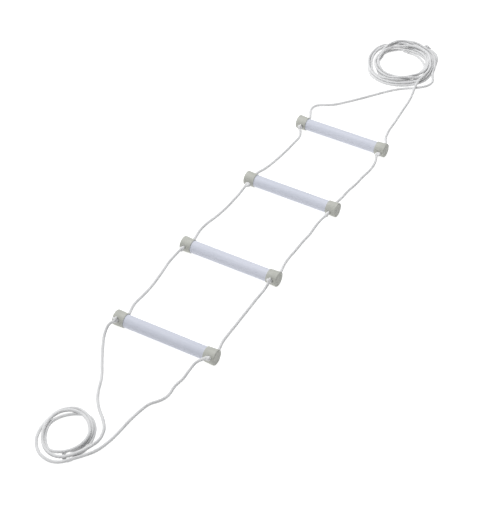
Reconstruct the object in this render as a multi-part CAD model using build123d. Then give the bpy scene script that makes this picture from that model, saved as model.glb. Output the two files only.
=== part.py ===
"""Rope ladder laid out flat: four capped tube rungs on two cords.

Frame: X runs along the rungs, +Y towards the free ends of the cords, +Z up.
The origin is on the floor, midway between rungs 2 and 3. All sizes are in mm.

The cord threads every rung through a hole in each end cap and is stopped below
it by a knot. The two free ends lie in one coil past rung 1, and the bight that
joins both sides lies in a smaller, looser coil past rung 4.
"""
import math
import os

from build123d import *

# Rungs
RUNG_COUNT = 4
RUNG_PITCH = 250.0
RUNG_LENGTH = 225.0          # over both end caps
TUBE_OD = 26.7
TUBE_WALL = 2.4

# End caps: a cup over each tube end that flares towards its closed end
CAP_LENGTH = 24.0
CAP_MOUTH_OD = 29.6
CAP_END_OD = 31.6
CAP_END_WALL = 3.0
CAP_END_BAND = 4.0           # straight band at the wide end, which the rung rests on
CAP_END_ROUND = 1.8
CAP_LIP_ROUND = 0.5

# How each rung lies off its regular place on the floor (x, y, turn), and how far it
# has rolled: a positive roll lifts the lower ends of its cord holes, in degrees
RUNG_LIES = {1: (0.0, -1.0, -1.0), 2: (1.5, 3.5, -0.7), 3: (-2.0, -2.0, 0.0), 4: (2.0, -0.5, 0.7)}
RUNG_ROLL = {1: 0.0, 2: -2.0, 3: 15.0, 4: 30.0}

# Cord and the holes it runs through
CORD_OD = 6.0
CORD_HOLE_OD = 7.5
HOLE_FROM_END = 12.0         # hole centre from the rung's end face
HOLE_OFF = {(1, "left"): 4.5, (2, "right"): 2.5, (3, "left"): -1.5, (3, "right"): -1.5}
                             # how far a hand-drilled hole is off, towards the rung's middle
FLOOR_GAP = 0.1              # under a cord that lies on the floor
RADIUS_SHARE = 0.45          # share of the shorter run that an arc may take
PRESS_IN = 0.5               # how far a cord's end is sunk into its knot or coil

# Stopper knots below the rungs, and the knots at the two free ends
KNOT_LENGTH = 9.0
KNOT_OD = 12.4
KNOT_FACE_OD = 6.4
KNOT_GAP = 0.3               # between the cap and its knot
END_KNOT_AT = {"left": (-29.0, 789.0, 12.0), "right": (12.0, 845.0, -30.0)}  # x, y, turn

# Fold lines: where the cord between two bodies bends
FOLD_LINE_FROM_RUNG = 60.0   # the tails' fold line, from the nearest rung's axis

# Coils: outer and inner ellipse (half width, half length), centre, height
TOP_COIL = {"outer": (88.0, 106.0), "inner": (50.0, 57.0), "centre": (-8.0, 741.0),
            "height": 17.0}
BOTTOM_COIL = {"outer": (55.0, 61.0), "inner": (37.0, 41.0), "centre": (-28.0, -659.0),
               "height": 12.0}
COIL_ROUND = 3.0

AXIS_Z = CAP_END_OD / 2      # the rungs rest on the wide ends of their caps
LIE_Z = CORD_OD / 2 + FLOOR_GAP
KNOT_NEAR = CAP_END_OD / 2 + KNOT_GAP      # from the rung's axis to the knot's first face
KNOT_FAR = KNOT_NEAR + KNOT_LENGTH
SIDES = {"left": -1, "right": 1}


def rung_y(number):
    """The Y of rung 1, 2, 3 or 4."""
    return RUNG_PITCH * ((RUNG_COUNT + 1) / 2 - number)


def rung_place(number):
    """Where a rung lies, for a shape on the X axis with its cord holes along Y."""
    x, y, turn = RUNG_LIES[number]
    lies = Pos(x, rung_y(number) + y, AXIS_Z) * Rot(0, 0, turn)
    return lies * Rot(-RUNG_ROLL[number], 0, 0)


def hole_x(number, side):
    """The X of a cord hole on its own rung."""
    from_end = HOLE_FROM_END + HOLE_OFF.get((number, side), 0)
    return SIDES[side] * (RUNG_LENGTH / 2 - from_end)


def in_hole(number, side, reach):
    """The point of a cord hole's axis that is this far above the rung's own axis."""
    return tuple((rung_place(number) * Pos(hole_x(number, side), reach, 0)).position)


LEAVE = -KNOT_FAR + PRESS_IN   # where a cord starts below a rung, from its axis
ENTER = 26.0                   # where it turns into the next rung's hole
ARRIVE = -KNOT_NEAR - PRESS_IN  # where it ends, at that rung's knot

# Routes of the cords between the rungs, from the upper to the lower knot
SPAN_ROUTES = {
    (1, "left"): [(-90.5, 334, 8), (-91.5, 306, LIE_Z), (-90.5, 277, LIE_Z),
                  (-92.5, 248, LIE_Z), (-95.5, 218, LIE_Z), (-100, 190, LIE_Z)],
    (1, "right"): [(104, 330, 8), (105, 303, LIE_Z), (101.5, 272, LIE_Z),
                   (100.5, 241, LIE_Z), (95.5, 212, LIE_Z), (95.5, 186, LIE_Z)],
    (2, "left"): [(-101, 88, 8), (-104, 60, LIE_Z), (-104, 30, LIE_Z), (-107, -4, LIE_Z),
                  (-113.5, -36, LIE_Z), (-114.5, -64, LIE_Z)],
    (2, "right"): [(94.5, 88, 8), (94.7, 68, LIE_Z), (92, 42, LIE_Z), (90, 13, LIE_Z),
                   (90.2, -20, LIE_Z), (89, -50, LIE_Z), (92, -76, 4)],
    (3, "left"): [(-112, -162, 10), (-116.5, -181, LIE_Z), (-112.5, -206, LIE_Z),
                  (-109, -234, LIE_Z), (-106.5, -262, LIE_Z), (-106.7, -291, LIE_Z),
                  (-109, -317, LIE_Z), (-103.5, -339, LIE_Z)],
    (3, "right"): [(96, -164, 12), (92, -184, LIE_Z), (92.8, -212, LIE_Z), (93.2, -242, LIE_Z),
                   (93.9, -272, LIE_Z), (94, -299, LIE_Z), (94.7, -321, LIE_Z),
                   (98, -337, LIE_Z)],
}
SPAN_ROUTES = {
    (number, side): [in_hole(number, side, LEAVE), *between,
                     in_hole(number + 1, side, ENTER), in_hole(number + 1, side, ARRIVE)]
    for (number, side), between in SPAN_ROUTES.items()
}

# Routes of the free ends, from the coil to the top rung, and of the two sides of the
# bight, from the bottom rung to its coil
TOP_TAIL_ROUTES = {
    "left": [(36, 652, LIE_Z), (20, 628, LIE_Z), (0, 602, LIE_Z), (-20, 573, LIE_Z),
             (-40, 545, LIE_Z), (-58, 521, LIE_Z), (-79, 495, LIE_Z), (-99, 482.5, LIE_Z),
             (-117, 471, LIE_Z), (-117, 445, 5), (-103.5, 416.5, 13)],
    "right": [(57, 677, LIE_Z), (59, 655, LIE_Z), (63, 632, LIE_Z), (68.5, 602, LIE_Z),
              (70.5, 572, LIE_Z), (73, 537, LIE_Z), (76, 503, LIE_Z), (77, 471, LIE_Z),
              (82.5, 442, 4), (89, 419, 11)],
}
BOTTOM_TAIL_ROUTES = {
    "left": [(-107, -412, 17), (-107, -428, 4.5), (-91, -452, LIE_Z), (-73, -480, LIE_Z),
             (-57, -502, LIE_Z), (-45.5, -523, LIE_Z), (-38, -542, LIE_Z), (-25, -563, LIE_Z),
             (-9, -580, LIE_Z), (10, -595, LIE_Z), (25, -612, LIE_Z), (31.5, -634, LIE_Z),
             (30.5, -655, LIE_Z), (20, -680, LIE_Z)],
    "right": [(92, -407, 15), (84, -421, 4), (83, -441, LIE_Z), (77, -464, LIE_Z),
              (80.5, -488, LIE_Z), (74, -507, LIE_Z), (60, -523, LIE_Z), (55, -547, LIE_Z),
              (51.5, -576, LIE_Z), (51, -606, LIE_Z), (47.5, -637, LIE_Z), (40, -664, LIE_Z),
              (23, -692, LIE_Z), (0, -708, LIE_Z)],
}
for side in SIDES:
    TOP_TAIL_ROUTES[side] += [in_hole(1, side, ENTER), in_hole(1, side, ARRIVE)]
    BOTTOM_TAIL_ROUTES[side].insert(0, in_hole(RUNG_COUNT, side, LEAVE))


def save(shape, node):
    """Write one node to its own file."""
    shape.label = node
    export_step(shape, f"parts/{node}.step")


def drilled(shape, x):
    """A shape on the X axis with a cord hole along Y through it."""
    return shape - Pos(x, 0, 0) * Rot(90, 0, 0) * Cylinder(CORD_HOLE_OD / 2, 2 * CAP_END_OD)


def rung_tube():
    """The tube of one rung, on the X axis, not yet drilled."""
    length = RUNG_LENGTH - 2 * CAP_END_WALL
    wall = Cylinder(TUBE_OD / 2, length) - Cylinder(TUBE_OD / 2 - TUBE_WALL, length)
    return Rot(0, 90, 0) * wall


def right_cap():
    """The cap on the +X end of a rung that lies on the X axis, not yet drilled."""
    end = RUNG_LENGTH / 2
    mouth = end - CAP_LENGTH
    bore = TUBE_OD / 2
    outline = Polyline(
        (mouth, bore), (mouth, CAP_MOUTH_OD / 2), (end - CAP_END_BAND, CAP_END_OD / 2),
        (end, CAP_END_OD / 2), (end, 0), (end - CAP_END_WALL, 0), (end - CAP_END_WALL, bore),
        close=True,
    )
    profile = make_face(outline)
    end_corner = profile.vertices().sort_by_distance((end, CAP_END_OD / 2))[0]
    profile = fillet(end_corner, CAP_END_ROUND)
    lip_corner = profile.vertices().sort_by_distance((mouth, CAP_MOUTH_OD / 2))[0]
    profile = fillet(lip_corner, CAP_LIP_ROUND)
    return revolve(profile, Axis.X)


def knot_body():
    """A knot's outer shape: a barrel about the Y axis with two flat faces."""
    half = KNOT_LENGTH / 2
    face = KNOT_FACE_OD / 2
    side = ThreePointArc((face, -half), (KNOT_OD / 2, 0), (face, half))
    ends = Polyline((face, half), (0, half), (0, -half), (face, -half))
    return revolve(make_face([side, ends]), Axis.Y)


def corner_radii(points):
    """The largest arc at each inner point of a route that its two runs allow."""
    radii = []
    for before, corner, after in zip(points, points[1:], points[2:]):
        run_in = Vector(corner) - Vector(before)
        run_out = Vector(after) - Vector(corner)
        turn = math.radians(run_in.get_angle(run_out))
        shorter = min(run_in.length, run_out.length)
        radii.append(RADIUS_SHARE * shorter / math.tan(turn / 2))
    return radii


def cord_along(name, points):
    """A round cord along a route of straight runs joined by tangent arcs."""
    radii = corner_radii(points)
    path = FilletPolyline(*points, radius=radii)
    section = Plane(origin=path @ 0, z_dir=path % 0) * Circle(CORD_OD / 2)
    cord = sweep(section, path=path)
    expected = math.pi * (CORD_OD / 2) ** 2 * path.length
    print(f"{name}: length {path.length:.1f}, smallest radius {min(radii):.1f},",
          f"volume / (section x length) {cord.volume / expected:.4f}")
    return cord


def cut_at(cord, y):
    """The pieces of a cord above and below a fold line across the ladder."""
    plane = Plane(origin=(0, y, 0), z_dir=(0, 1, 0))
    return split(cord, plane, keep=Keep.TOP), split(cord, plane, keep=Keep.BOTTOM)


def coil_body(coil):
    """The outer shape of a coil that lies on the floor: a low oval ring."""
    ring = Ellipse(*coil["outer"]) - Ellipse(*coil["inner"])
    body = extrude(ring, coil["height"] - FLOOR_GAP)
    body = fillet(body.edges().group_by(Axis.Z)[-1], COIL_ROUND)
    return Pos(*coil["centre"], FLOOR_GAP) * body


os.makedirs("parts", exist_ok=True)

TUBE = rung_tube()
CAPS = {"right": right_cap(), "left": mirror(right_cap(), Plane.YZ)}
KNOT = knot_body()

for number in range(1, RUNG_COUNT + 1):
    place = rung_place(number)
    tube = TUBE
    for side in SIDES:
        x = hole_x(number, side)
        tube = drilled(tube, x)
        save(place * drilled(CAPS[side], x), f"rung_{number}_cap_{side}")
        knot_place = Pos(x, -KNOT_NEAR - KNOT_LENGTH / 2, 0)
        save(place * knot_place * KNOT, f"rung_{number}_knot_{side}")
    save(place * tube, f"rung_{number}_tube")

for (number, side), route in SPAN_ROUTES.items():
    name = f"span_{number}_{side}"
    upper, lower = cut_at(cord_along(name, route), rung_y(number) - RUNG_PITCH / 2)
    save(upper, f"{name}_upper")
    save(lower, f"{name}_lower")

for side in SIDES:
    tail, lead = cut_at(cord_along(f"top_tail_{side}", TOP_TAIL_ROUTES[side]),
                        rung_y(1) + FOLD_LINE_FROM_RUNG)
    save(tail, f"top_tail_{side}")
    save(lead, f"top_lead_{side}")
    lead, tail = cut_at(cord_along(f"bottom_tail_{side}", BOTTOM_TAIL_ROUTES[side]),
                        rung_y(RUNG_COUNT) - FOLD_LINE_FROM_RUNG)
    save(lead, f"bottom_lead_{side}")
    save(tail, f"bottom_tail_{side}")
    x, y, turn = END_KNOT_AT[side]
    save(Pos(x, y, KNOT_OD / 2 + FLOOR_GAP) * Rot(0, 0, 90 + turn) * KNOT, f"end_knot_{side}")

save(coil_body(TOP_COIL), "top_coil")
save(coil_body(BOTTOM_COIL), "bottom_coil")
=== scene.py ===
"""The looks of the rope ladder: braided cord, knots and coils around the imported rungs."""
import math

import bpy
import numpy as np
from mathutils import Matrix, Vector


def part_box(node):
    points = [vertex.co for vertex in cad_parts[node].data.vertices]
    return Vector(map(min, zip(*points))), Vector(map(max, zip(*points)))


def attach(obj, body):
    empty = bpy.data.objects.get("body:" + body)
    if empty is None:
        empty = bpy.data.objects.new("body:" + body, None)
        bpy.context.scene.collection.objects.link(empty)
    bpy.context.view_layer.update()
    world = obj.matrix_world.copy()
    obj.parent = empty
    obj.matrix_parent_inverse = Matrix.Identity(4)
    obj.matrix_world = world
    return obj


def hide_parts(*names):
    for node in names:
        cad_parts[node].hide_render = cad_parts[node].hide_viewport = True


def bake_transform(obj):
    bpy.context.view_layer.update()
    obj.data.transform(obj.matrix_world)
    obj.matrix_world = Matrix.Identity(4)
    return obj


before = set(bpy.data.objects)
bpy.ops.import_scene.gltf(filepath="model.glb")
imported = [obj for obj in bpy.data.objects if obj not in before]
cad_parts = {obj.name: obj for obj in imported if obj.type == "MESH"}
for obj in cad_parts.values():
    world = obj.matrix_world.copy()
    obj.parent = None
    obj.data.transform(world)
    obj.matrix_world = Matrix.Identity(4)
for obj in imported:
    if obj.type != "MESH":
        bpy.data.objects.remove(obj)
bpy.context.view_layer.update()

# ---------------------------------------------------------------- sizes
MM = 0.001                   # the sizes and routes here are in millimetres, like the CAD's
RUNG_LENGTH = 225.0
RUNG_Y = {1: 375.0, 2: 125.0, 3: -125.0, 4: -375.0}
RUNG_LIES = {1: (0.0, -1.0, -1.0), 2: (1.5, 3.5, -0.7), 3: (-2.0, -2.0, 0.0), 4: (2.0, -0.5, 0.7)}
RUNG_ROLL = {1: 0.0, 2: -2.0, 3: 15.0, 4: 30.0}
HOLE_FROM_END = 12.0
HOLE_OFF = {(1, "left"): 4.5, (2, "right"): 2.5, (3, "left"): -1.5, (3, "right"): -1.5}
SIDES = {"left": -1, "right": 1}
CORD_OD = 6.0
AXIS_Z = (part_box("rung_1_tube")[0].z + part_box("rung_1_tube")[1].z) / 2 / MM
FLOOR_GAP = 0.1
LIE_Z = CORD_OD / 2 + FLOOR_GAP    # centre of a cord that lies on the floor
KNOT_CENTRE = -20.85         # along a cord hole, from the rung's axis
LEAVE = -25.1                # where a cord starts, in the knot below a rung
ENTER = 26.0                 # where it turns into the next rung's hole
ARRIVE = -16.6               # where it ends, in that rung's knot
TAIL_START = -12.0           # where a free end starts, inside rung 1


def in_hole(number, side, reach):
    """The point of a cord hole's axis that is this far above the rung's own axis."""
    x, y, turn = RUNG_LIES[number]
    turn = math.radians(turn)
    roll = math.radians(RUNG_ROLL[number])
    from_end = HOLE_FROM_END + HOLE_OFF.get((number, side), 0)
    on_rung = SIDES[side] * (RUNG_LENGTH / 2 - from_end)
    across = reach * math.cos(roll)
    return (x + on_rung * math.cos(turn) - across * math.sin(turn),
            y + RUNG_Y[number] + on_rung * math.sin(turn) + across * math.cos(turn),
            AXIS_Z - reach * math.sin(roll))


# ---------------------------------------------------------------- camera
CAMERA_AT = Vector((0.9477, -1.7307, 1.6610))
CAMERA_LOOKS = Vector((-0.377, 0.653, -0.657))
FOCAL_SHARE = 1228.0 / 506.0  # focal length over the frame's longer side
SENSOR = 36.0

camera_data = bpy.data.cameras.new("camera")
camera_data.sensor_width = SENSOR
camera_data.lens = SENSOR * FOCAL_SHARE
camera = bpy.data.objects.new("camera", camera_data)
camera.location = CAMERA_AT
camera.rotation_euler = CAMERA_LOOKS.to_track_quat("-Z", "Y").to_euler()
bpy.context.scene.collection.objects.link(camera)
bpy.context.scene.camera = camera

# ---------------------------------------------------------------- cord routes
# The CAD's routes, upper end first, but with some points by a rung or a coil moved, added
# or left out, so they are not the CAD's list. A hole holds its cord straight.
SPAN_ROUTES = {
    (1, "left"): [(-85.5, 340, 8.5), (-90, 309, LIE_Z), (-90.5, 277, LIE_Z),
                  (-92.5, 248, LIE_Z), (-95.5, 218, LIE_Z), (-100, 190, LIE_Z)],
    (1, "right"): [(105.5, 336, 8), (106, 308, LIE_Z), (101.5, 272, LIE_Z),
                   (100.5, 241, LIE_Z), (95.5, 212, LIE_Z), (95.5, 186, LIE_Z)],
    (2, "left"): [(-101, 88, 8), (-104, 60, LIE_Z), (-104, 30, LIE_Z), (-107, -4, LIE_Z),
                  (-113.5, -36, LIE_Z), (-114.5, -64, LIE_Z)],
    (2, "right"): [(91.5, 88, 7), (90, 66, LIE_Z), (92, 42, LIE_Z), (90, 13, LIE_Z),
                   (90.2, -20, LIE_Z), (89, -50, LIE_Z), (92, -76, 4)],
    (3, "left"): [(-112, -162, 10), (-116.5, -181, LIE_Z), (-112.5, -206, LIE_Z),
                  (-109, -234, LIE_Z), (-106.5, -262, LIE_Z), (-106.7, -291, LIE_Z),
                  (-109, -317, LIE_Z), (-103.5, -339, LIE_Z)],
    (3, "right"): [(97.5, -162, 11), (92, -184, LIE_Z), (92.8, -212, LIE_Z), (93.2, -242, LIE_Z),
                   (93.9, -272, LIE_Z), (94, -299, LIE_Z), (94.7, -321, LIE_Z),
                   (98, -337, LIE_Z)],
}
TOP_TAIL_ROUTES = {
    "left": [(-103.5, 416.5, 13), (-117, 445, 5), (-117, 471, LIE_Z), (-99, 482.5, LIE_Z),
             (-79, 495, LIE_Z), (-58, 521, LIE_Z), (-40, 545, LIE_Z), (-20, 573, LIE_Z),
             (0, 602, LIE_Z), (20, 628, LIE_Z), (42, 646, LIE_Z), (62.5, 660.5, LIE_Z),
             (81.5, 681, LIE_Z), (86, 704, LIE_Z)],
    "right": [(89, 419, 11), (82.5, 442, 4), (77, 471, LIE_Z), (76, 503, LIE_Z),
              (73, 537, LIE_Z), (70.5, 572, LIE_Z), (68.5, 602, LIE_Z), (63, 632, LIE_Z),
              (59, 655, LIE_Z), (57, 677, LIE_Z), (61, 702, LIE_Z)],
}
BOTTOM_TAIL_ROUTES = {
    "left": [(-103, -404, 23), (-106, -413, 9), (-103, -430, 3.5), (-91, -452, LIE_Z),
             (-73, -480, LIE_Z),
             (-57, -502, LIE_Z), (-45.5, -523, LIE_Z), (-38, -542, LIE_Z), (-25, -563, LIE_Z),
             (-9, -580, LIE_Z), (10, -595, LIE_Z), (25, -612, LIE_Z), (31.5, -634, LIE_Z),
             (30.5, -655, LIE_Z)],
    "right": [(96, -403, 21), (88.5, -409, 9), (84, -423, 3.5), (81, -441, LIE_Z),
              (76.5, -464, LIE_Z),
              (80.5, -488, LIE_Z), (74, -507, LIE_Z), (60, -523, LIE_Z), (55, -547, LIE_Z),
              (51.5, -576, LIE_Z), (51, -606, LIE_Z), (47.5, -637, LIE_Z), (40, -664, LIE_Z),
              (23, -692, LIE_Z)],
}


def metres(points):
    """Points in millimetres as an array in metres."""
    return np.array(points, float) * MM


# ---------------------------------------------------------------- coils
# Each strand of the top coil is listed from its free end, and is wound on from there.
TOP_CENTRE = (-8.0, 741.0)
TOP_POINTS_PER_TURN = 28
# The coil is not quite round: its inner and outer edges' distances from the centre,
# every 30 degrees, counter-clockwise from the right.
TOP_INNER = (52, 48, 50, 57, 59, 60, 57, 60, 65, 63, 57, 53)
TOP_OUTER = (77, 76, 89, 92, 97, 97, 89, 90, 100, 102, 97, 91)

# How far out each quarter turn lies, from 0 at the inner edge to 1 at the outer edge,
# with the angles of both ends. A row is one turn: far side, right, near side, left.
TOP_LANES = {
    "left": {"from": 105, "to": -8, "lanes": [
        -0.03, 0.02, 0.10, 0.30,
        0.25, 0.35, 0.55, 0.12,
        0.70, 0.55, 0.40, 0.45,
        0.85, 0.75, 0.85, 1.00,
        0.98, 1.00]},
    "right": {"from": 76, "to": -12, "lanes": [
        1.28, 0.84, 1.00, 0.90,
        0.35, 0.10, 0.65, 0.80,
        0.50, 0.30, 0.15, 0.20,
        0.45, 0.62]},
}

# The loose turns of the bight: the distance from the coil's centre at every step
# round it, from the tail inwards. Both strands go round the same way and end in
# the bight that joins them.
BOTTOM_CENTRE = (-25.0, -657.0)
BOTTOM_STEP_DEG = 30
BOTTOM_TURNS = {
    "left": {"from": -40, "radii": [
        55, 56, 50, 43.5, 42.5, 47, 56.5, 56, 49, 43, 43, 42, 41,
        44, 45, 39, 39, 44, 46, 51, 59.5, 53, 48, 50.5, 54.5]},
    "right": {"from": -70, "radii": [
        66.5, 62.5, 56, 51.5, 51, 62, 65.5, 55, 48.5, 45, 43.5, 39.5]},
}
BIGHT_CENTRE = (8.5, -691.0)
BIGHT_RADIUS = 13.0
BIGHT_FROM = -75             # degrees
BIGHT_TO = -225
BIGHT_STEP = -30
BIGHT_LAID = -0.01           # the bight lies under both strands


def top_turns(lanes, start_deg, end_deg):
    """An oval coil, wound clockwise, that eases from one lane to the next every quarter turn."""
    quarters = len(lanes) - 1
    turns = round(quarters / 4 - (start_deg - end_deg) / 360)
    sweep = math.radians(start_deg - end_deg) + 2 * math.pi * turns
    count = int(TOP_POINTS_PER_TURN * sweep / (2 * math.pi))
    points = []
    for i in range(count + 1):
        along = i / count * quarters
        k = min(int(along), quarters - 1)
        ease = (1 - math.cos(math.pi * (along - k))) / 2
        lane = lanes[k] + (lanes[k + 1] - lanes[k]) * ease
        angle = math.radians(start_deg) - sweep * i / count
        inner = np.interp(math.degrees(angle), range(0, 360, 30), TOP_INNER, period=360)
        outer = np.interp(math.degrees(angle), range(0, 360, 30), TOP_OUTER, period=360)
        radius = inner + (outer - inner) * lane
        points.append((TOP_CENTRE[0] + radius * math.cos(angle),
                       TOP_CENTRE[1] + radius * math.sin(angle), LIE_Z))
    return points


def bottom_turns(start_deg, radii):
    """Loose turns, wound clockwise, from the tail inwards."""
    points = []
    for i, radius in enumerate(radii):
        angle = math.radians(start_deg - BOTTOM_STEP_DEG * i)
        points.append((BOTTOM_CENTRE[0] + radius * math.cos(angle),
                       BOTTOM_CENTRE[1] + radius * math.sin(angle), LIE_Z))
    return points


def bight_turn():
    """The U-turn that joins the two bottom strands."""
    points = []
    for degrees in range(BIGHT_FROM, BIGHT_TO - 1, BIGHT_STEP):
        angle = math.radians(degrees)
        points.append((BIGHT_CENTRE[0] + BIGHT_RADIUS * math.cos(angle),
                       BIGHT_CENTRE[1] + BIGHT_RADIUS * math.sin(angle), LIE_Z))
    return points


# ---------------------------------------------------------------- laying cords on cords
LAY_SAMPLES = 5              # between two points of a route
LAY_APART = CORD_OD * MM     # how near a strand's centre may come to one it lies on
SAME_STRAND = 0.035          # nearer than this along one cord is the same strand
HUMP = 9.0                   # how fast a cord falls from a crossing, per metre squared
LAY_ROUNDS = 16


def lay(cords):
    """Raises each cord where it lies on strands laid before it.

    cords is a list of (points, order): order rises from the first strand laid to
    the last. A strand rests on the ones under it and comes down in a long hump.
    """
    fine, order, along, owner, knots = [], [], [], [], []
    for number, (points, rank) in enumerate(cords):
        spots = np.arange((len(points) - 1) * LAY_SAMPLES + 1) / LAY_SAMPLES
        index = np.arange(len(points))
        dense = np.stack([np.interp(spots, index, points[:, k]) for k in range(3)], 1)
        steps = np.linalg.norm(np.diff(dense, axis=0), axis=1)
        knots.append(len(order) + index * LAY_SAMPLES)
        order.extend(np.interp(spots, index, rank))
        along.extend(np.concatenate([[0], np.cumsum(steps)]))
        owner.extend([number] * len(dense))
        fine.extend(dense)
    fine, order, along, owner = map(np.array, (fine, order, along, owner))
    apart = np.linalg.norm(fine[:, None, :2] - fine[None, :, :2], axis=2)
    span = np.abs(along[:, None] - along[None])
    same = owner[:, None] == owner[None]
    under = (apart < LAY_APART) & (order[None] < order[:, None]) & ~(same & (span < SAME_STRAND))
    rise = np.sqrt(np.maximum(LAY_APART ** 2 - apart ** 2, 0))
    fall = np.where(same, HUMP * span ** 2, np.inf)
    rest = fine[:, 2].copy()
    height = rest.copy()
    for _ in range(LAY_ROUNDS):
        need = np.maximum(rest, np.where(under, height[None] + rise, 0).max(1))
        height = (need[None] - fall).max(1)
    raised = []
    for (points, _), index in zip(cords, knots):
        new = points.copy()
        new[:, 2] = height[index]
        raised.append(new)
    return raised


# ---------------------------------------------------------------- braided cord
RING_SIDES = 20
BRAIDS = 5                   # raised strands round the cord at one place
BRAID_PITCH = 0.0058         # along the cord, from one strand to the next in its row
BRAID_DEPTH = 0.085          # share of the radius
RING_STEP = 0.0009
SPLINE_SAMPLES = 10          # of a spline, between two control points


def smooth_line(name, points):
    """The dense line of a NURBS spline with these control points."""
    curve = bpy.data.curves.new(name + "_route", "CURVE")
    curve.dimensions = "3D"
    curve.resolution_u = SPLINE_SAMPLES
    spline = curve.splines.new("NURBS")
    spline.points.add(len(points) - 1)
    for spot, point in zip(spline.points, points):
        spot.co = (*point, 1.0)
    spline.order_u = 3
    spline.use_endpoint_u = True
    holder = bpy.data.objects.new(name + "_route", curve)
    mesh = bpy.data.meshes.new_from_object(holder)
    line = np.array([v.co for v in mesh.vertices], float)
    bpy.data.objects.remove(holder)
    bpy.data.meshes.remove(mesh)
    bpy.data.curves.remove(curve)
    return line


def evenly(line, step):
    """The same line with its points a step apart."""
    along = np.concatenate([[0], np.cumsum(np.linalg.norm(np.diff(line, axis=0), axis=1))])
    count = max(3, int(round(along[-1] / step)))
    spots = np.linspace(0, along[-1], count + 1)
    return np.stack([np.interp(spots, along, line[:, k]) for k in range(3)], 1), spots


def side_vectors(line):
    """Two unit vectors across the line at each point, carried along without twisting."""
    tangents = np.gradient(line, axis=0)
    tangents /= np.linalg.norm(tangents, axis=1)[:, None]
    start = Vector(tangents[0]).orthogonal().normalized()
    across = [np.array(start)]
    for tangent in tangents[1:]:
        side = across[-1] - tangent * (across[-1] @ tangent)
        across.append(side / np.linalg.norm(side))
    across = np.array(across)
    return across, np.cross(tangents, across)


def braided_tube(name, route, diameter, step=RING_STEP):
    """A mesh of a braided cord along a route, closed at both ends, and its centreline."""
    line, along = evenly(smooth_line(name, route), step)
    first, second = side_vectors(line)
    turn = np.arange(RING_SIDES) / RING_SIDES * 2 * math.pi
    weave = np.cos(BRAIDS * turn)[None] * np.cos(2 * math.pi * along / BRAID_PITCH)[:, None]
    radius = diameter / 2 * (1 + BRAID_DEPTH * weave)
    ring = (np.cos(turn)[None, :, None] * first[:, None] + np.sin(turn)[None, :, None] * second[:, None])
    rings = line[:, None] + ring * radius[:, :, None]
    count = len(line)
    verts = np.concatenate([rings.reshape(-1, 3), line[:1], line[-1:]])
    here = np.arange(RING_SIDES)
    after = (here + 1) % RING_SIDES
    rows = np.arange(count - 1)[:, None] * RING_SIDES
    quads = np.stack([rows + here, rows + after, rows + RING_SIDES + after,
                      rows + RING_SIDES + here], 2).reshape(-1, 4)
    head = [(count * RING_SIDES, b, a) for a, b in zip(here.tolist(), after.tolist())]
    last = (count - 1) * RING_SIDES
    tail = [(count * RING_SIDES + 1, last + a, last + b) for a, b in zip(here.tolist(), after.tolist())]
    mesh = bpy.data.meshes.new(name)
    mesh.from_pydata(verts.tolist(), [], quads.tolist() + head + tail)
    mesh.shade_smooth()
    # The braid's height, 0 in its grooves and 1 on its ridges; the cord's material uses it to paint
    # shade into the grooves.
    ridge = mesh.attributes.new("ridge", "FLOAT", "POINT")
    ridge.data.foreach_set("value", np.concatenate(
        [(weave.ravel() + 1) / 2, [0.5, 0.5]]).astype(np.float32))
    piece = bpy.data.objects.new(name, mesh)
    bpy.context.scene.collection.objects.link(piece)
    piece.data.materials.append(CORD_MATERIAL)
    return piece, line


# ---------------------------------------------------------------- materials
def new_material(name):
    """A node material, its tree and its Principled shader."""
    material = bpy.data.materials.new(name)
    material.use_nodes = True
    tree = material.node_tree
    return material, tree, tree.nodes["Principled BSDF"]


def noise(tree, scale, detail=3.0, stretch=(1, 1, 1)):
    """Noise in the object's own coordinates, which are the row frame's."""
    place = tree.nodes.new("ShaderNodeTexCoord")
    mapping = tree.nodes.new("ShaderNodeMapping")
    mapping.inputs["Scale"].default_value = stretch
    texture = tree.nodes.new("ShaderNodeTexNoise")
    texture.inputs["Scale"].default_value = scale
    texture.inputs["Detail"].default_value = detail
    tree.links.new(place.outputs["Object"], mapping.inputs["Vector"])
    tree.links.new(mapping.outputs["Vector"], texture.inputs["Vector"])
    return texture.outputs["Fac"]


def ramp(tree, source, stops):
    """A colour ramp: stops are (position, colour)."""
    node = tree.nodes.new("ShaderNodeValToRGB")
    node.color_ramp.elements[0].position, node.color_ramp.elements[0].color = stops[0]
    node.color_ramp.elements[1].position, node.color_ramp.elements[1].color = stops[-1]
    for position, colour in stops[1:-1]:
        node.color_ramp.elements.new(position).color = colour
    tree.links.new(source, node.inputs["Fac"])
    return node.outputs["Color"]


def multiply(tree, one, two):
    """Two colours multiplied."""
    node = tree.nodes.new("ShaderNodeMix")
    node.data_type = "RGBA"
    node.blend_type = "MULTIPLY"
    node.inputs["Factor"].default_value = 1.0
    tree.links.new(one, node.inputs["A"])
    tree.links.new(two, node.inputs["B"])
    return node.outputs["Result"]


def bump(tree, shader, height, strength, distance):
    """A bump from a height into the shader's normal."""
    node = tree.nodes.new("ShaderNodeBump")
    node.inputs["Strength"].default_value = strength
    node.inputs["Distance"].default_value = distance
    tree.links.new(height, node.inputs["Height"])
    tree.links.new(node.outputs["Normal"], shader.inputs["Normal"])


def grey(value, blue=0.0):
    """A neutral colour, a little bluer by the second number."""
    return (value, value, value + blue, 1.0)


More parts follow.
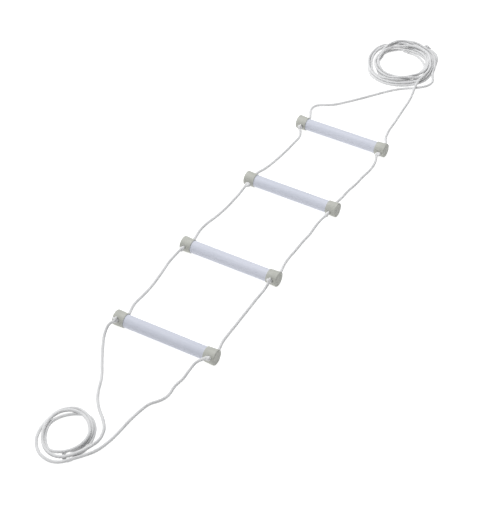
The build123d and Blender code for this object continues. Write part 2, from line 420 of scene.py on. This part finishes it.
def cord_material():
    """White braided cord: painted shade in the braid's grooves, which makes them greyer than its ridges,
    and fine fibres.
    """
    material, tree, shader = new_material("white_braided_cord")
    ridge = tree.nodes.new("ShaderNodeAttribute")
    ridge.attribute_name = "ridge"
    # Painted shade: the grooves between the braid's strands are coloured darker than its ridges, as if
    # shade fell in them.
    braid_groove_shade = ramp(tree, ridge.outputs["Fac"], [(0.0, grey(0.62)), (0.45, grey(0.69)),
                                              (1.0, grey(0.75))])
    wear = ramp(tree, noise(tree, 60, 4), [(0.3, grey(0.88)), (0.65, grey(1.0))])
    tree.links.new(multiply(tree, braid_groove_shade, wear), shader.inputs["Base Color"])
    bump(tree, shader, noise(tree, 2600, 2, (1, 0.35, 1)), 0.5, 0.0002)
    shader.inputs["Roughness"].default_value = 0.82
    shader.inputs["Specular IOR Level"].default_value = 0.3
    shader.inputs["Sheen Weight"].default_value = 0.25
    shader.inputs["Sheen Roughness"].default_value = 0.5
    return material


def tube_material():
    """Extruded white plastic with a faint lilac tone, finely drawn along its length."""
    material, tree, shader = new_material("white_tube_plastic")
    tone = ramp(tree, noise(tree, 22, 3, (0.25, 1, 1)), [
        (0.3, (0.545, 0.565, 0.635, 1)), (0.7, (0.59, 0.605, 0.675, 1))])
    drawn = ramp(tree, noise(tree, 300, 2, (0.02, 1, 1)), [(0.35, grey(0.965)), (0.65, grey(1.0))])
    tree.links.new(multiply(tree, tone, drawn), shader.inputs["Base Color"])
    rough = ramp(tree, noise(tree, 90, 4, (0.2, 1, 1)), [(0.3, grey(0.48)), (0.7, grey(0.60))])
    tree.links.new(rough, shader.inputs["Roughness"])
    bump(tree, shader, noise(tree, 260, 2, (0.03, 1, 1)), 0.12, 0.0003)
    shader.inputs["Specular IOR Level"].default_value = 0.3
    return material


def cap_material():
    """Moulded grey rubber-like plastic with a fine grain."""
    material, tree, shader = new_material("grey_cap_plastic")
    tone = ramp(tree, noise(tree, 45, 4), [
        (0.3, (0.41, 0.415, 0.375, 1)), (0.7, (0.47, 0.475, 0.43, 1))])
    grain = ramp(tree, noise(tree, 1400, 2), [(0.3, grey(0.93)), (0.7, grey(1.0))])
    tree.links.new(multiply(tree, tone, grain), shader.inputs["Base Color"])
    rough = ramp(tree, noise(tree, 120, 3), [(0.3, grey(0.48)), (0.7, grey(0.62))])
    tree.links.new(rough, shader.inputs["Roughness"])
    bump(tree, shader, noise(tree, 1600, 3), 0.25, 0.00012)
    shader.inputs["Specular IOR Level"].default_value = 0.4
    return material


CORD_MATERIAL = cord_material()
TUBE_MATERIAL = tube_material()
CAP_MATERIAL = cap_material()

for node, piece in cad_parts.items():
    if "_tube" in node or "_cap_" in node:
        piece.data.materials.clear()
        piece.data.materials.append(TUBE_MATERIAL if "_tube" in node else CAP_MATERIAL)

# ---------------------------------------------------------------- knots
KNOT_CORD = 4.6 * MM         # the cord is pulled thin in a knot
KNOT_SCALE = 1.6 * MM
KNOT_OFFSET = -1.2           # of the knot's middle from the cord, in knot units
KNOT_FLAT = 1.2
KNOT_SPREAD = 0.5
KNOT_TRIM = 0.22             # left out at both ends of the knot's closed curve, in radians
KNOT_STEPS = 26
KNOT_LEADS = (0.0095, 0.0065)      # straight cord before and after a knot, in metres
KNOT_RING_STEP = 0.6 * MM


def overhand_points(lead_in, lead_out):
    """An overhand knot about the local Y axis, with straight leads at both ends."""
    points = [(0, -lead_in, 0)]
    for i in range(KNOT_STEPS + 1):
        t = KNOT_TRIM + (2 * math.pi - 2 * KNOT_TRIM) * i / KNOT_STEPS
        reach = 2 + math.cos(3 * t)
        points.append((
            KNOT_SCALE * (reach * math.cos(2 * t) + KNOT_OFFSET),
            KNOT_SCALE * reach * math.sin(2 * t),
            KNOT_SCALE * (KNOT_FLAT * math.sin(3 * t) + KNOT_SPREAD * (t / math.pi - 1)),
        ))
    points.append((0, lead_out, 0))
    return np.array(points)


def make_knot(name, centre, heading, roll, leads=KNOT_LEADS):
    """A knot at a place, its cord along a heading, rolled about the cord."""
    points = overhand_points(*leads)
    c, s = math.cos(roll), math.sin(roll)
    points = points @ np.array([(c, 0, -s), (0, 1, 0), (s, 0, c)])
    y_axis = np.array(Vector(heading).normalized())
    x_axis = np.cross(y_axis, (0, 0, 1))
    x_axis /= np.linalg.norm(x_axis)
    z_axis = np.cross(x_axis, y_axis)
    placed = np.outer(points[:, 0], x_axis) + np.outer(points[:, 1], y_axis)
    placed += np.outer(points[:, 2], z_axis) + np.array(centre)
    piece, _ = braided_tube(name, placed, KNOT_CORD, KNOT_RING_STEP)
    return piece


KNOT_ROLL_STEP = 2.1
for number in RUNG_Y:
    for side, sign in SIDES.items():
        centre = metres(in_hole(number, side, KNOT_CENTRE))
        heading = centre - metres(in_hole(number, side, 0))
        knot = make_knot(f"knot_{number}_{side}", centre, heading,
                         KNOT_ROLL_STEP * (2 * number + sign))
        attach(knot, f"rung_{number}")
        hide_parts(f"rung_{number}_knot_{side}")


for (number, side), between in SPAN_ROUTES.items():
    name = f"span_{number}_{side}"
    ends = [in_hole(number + 1, side, reach) for reach in (ENTER, 0, ARRIVE)]
    route = metres([in_hole(number, side, LEAVE), *between, *ends])
    piece, line = braided_tube(f"cord_{name}", route, CORD_OD * MM)
    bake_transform(piece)
    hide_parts(f"{name}_upper", f"{name}_lower")

# ---------------------------------------------------------------- tails and coils
END_KNOT_OUT = 6 * MM        # from a free end to its knot's centre
END_KNOT_Z = 6.6 * MM        # the lowest that such a knot's centre can lie
END_KNOT_ROLL = 0.4

TOP_LAID = {"left": 1.0, "right": 1.05}     # the right tail lies over the left one

top_cords = []
for side, turns in TOP_LANES.items():
    start = [in_hole(1, side, reach) for reach in (ENTER, ENTER / 4, TAIL_START)]
    route = metres([*top_turns(turns["lanes"], turns["from"], turns["to"]),
                    *TOP_TAIL_ROUTES[side][::-1], *start])
    top_cords.append((route, np.linspace(0, TOP_LAID[side], len(route))))

for side, route in zip(TOP_LANES, lay(top_cords)):
    outward = (route[0] - route[1]) * (1, 1, 0)
    knot_at = route[0] + outward / np.linalg.norm(outward) * END_KNOT_OUT
    knot_at[2] = max(knot_at[2], END_KNOT_Z)
    knot = make_knot(f"knot_end_{side}", knot_at, outward, END_KNOT_ROLL)
    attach(knot, "top_tails")
    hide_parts(f"end_knot_{side}")
    piece, line = braided_tube(f"cord_top_{side}", route[::-1], CORD_OD * MM)
    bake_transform(piece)
    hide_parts(f"top_lead_{side}", f"top_tail_{side}", "top_coil")

halves = {
    side: metres([in_hole(4, side, LEAVE), *BOTTOM_TAIL_ROUTES[side],
                  *bottom_turns(turns["from"], turns["radii"])])
    for side, turns in BOTTOM_TURNS.items()
}
bight = metres(bight_turn())
loop = np.concatenate([halves["left"], bight, halves["right"][::-1]])
laid = np.concatenate([np.linspace(1, 0, len(halves["left"])), np.full(len(bight), BIGHT_LAID),
                       np.linspace(0, 1, len(halves["right"]))])
loop = lay([(loop, laid)])[0]
piece, line = braided_tube("cord_bottom", loop, CORD_OD * MM)
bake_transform(piece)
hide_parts("bottom_lead_left", "bottom_tail_left", "bottom_lead_right",
            "bottom_tail_right", "bottom_coil")

# ---------------------------------------------------------------- floor, light
FLOOR_SIZE = 12.0
floor_mesh = bpy.data.meshes.new("floor")
edge = FLOOR_SIZE / 2
floor_corners = [(-edge, -edge, 0), (edge, -edge, 0), (edge, edge, 0), (-edge, edge, 0)]
floor_mesh.from_pydata(floor_corners, [], [(0, 1, 2, 3)])
floor = bpy.data.objects.new("floor", floor_mesh)
bpy.context.scene.collection.objects.link(floor)
floor_material, _, floor_shader = new_material("pale_floor")
floor_shader.inputs["Base Color"].default_value = grey(0.36)
floor_shader.inputs["Roughness"].default_value = 0.9
floor_shader.inputs["Specular IOR Level"].default_value = 0.1
floor_shader.inputs["Emission Color"].default_value = grey(1.0)
floor_shader.inputs["Emission Strength"].default_value = 0.86
floor.data.materials.append(floor_material)


def area_light(name, at, aim, size, power):
    """A square soft light that looks at a point."""
    light = bpy.data.lights.new(name, "AREA")
    light.size = size
    light.energy = power
    lamp = bpy.data.objects.new(name, light)
    lamp.location = at
    lamp.rotation_euler = (Vector(aim) - Vector(at)).to_track_quat("-Z", "Y").to_euler()
    bpy.context.scene.collection.objects.link(lamp)


area_light("key", at=(-0.9, 0.3, 3.1), aim=(0, 0, 0), size=2.2, power=78)

world = bpy.data.worlds.new("studio")
world.use_nodes = True
background = world.node_tree.nodes["Background"]
background.inputs["Strength"].default_value = 0.9
# The sky is bright on the left and dark on the right, as in a room with one window.
sky = world.node_tree.nodes.new("ShaderNodeTexCoord")
across = world.node_tree.nodes.new("ShaderNodeSeparateXYZ")
world.node_tree.links.new(sky.outputs["Generated"], across.inputs["Vector"])
shade = ramp(world.node_tree, across.outputs["X"], [(0.0, (0.80, 0.81, 0.83, 1)),
                                                    (0.35, (0.46, 0.47, 0.49, 1)),
                                                    (0.8, grey(0.06))])
world.node_tree.links.new(shade, background.inputs["Color"])
bpy.context.scene.world = world
bpy.context.scene.view_settings.view_transform = "Standard"
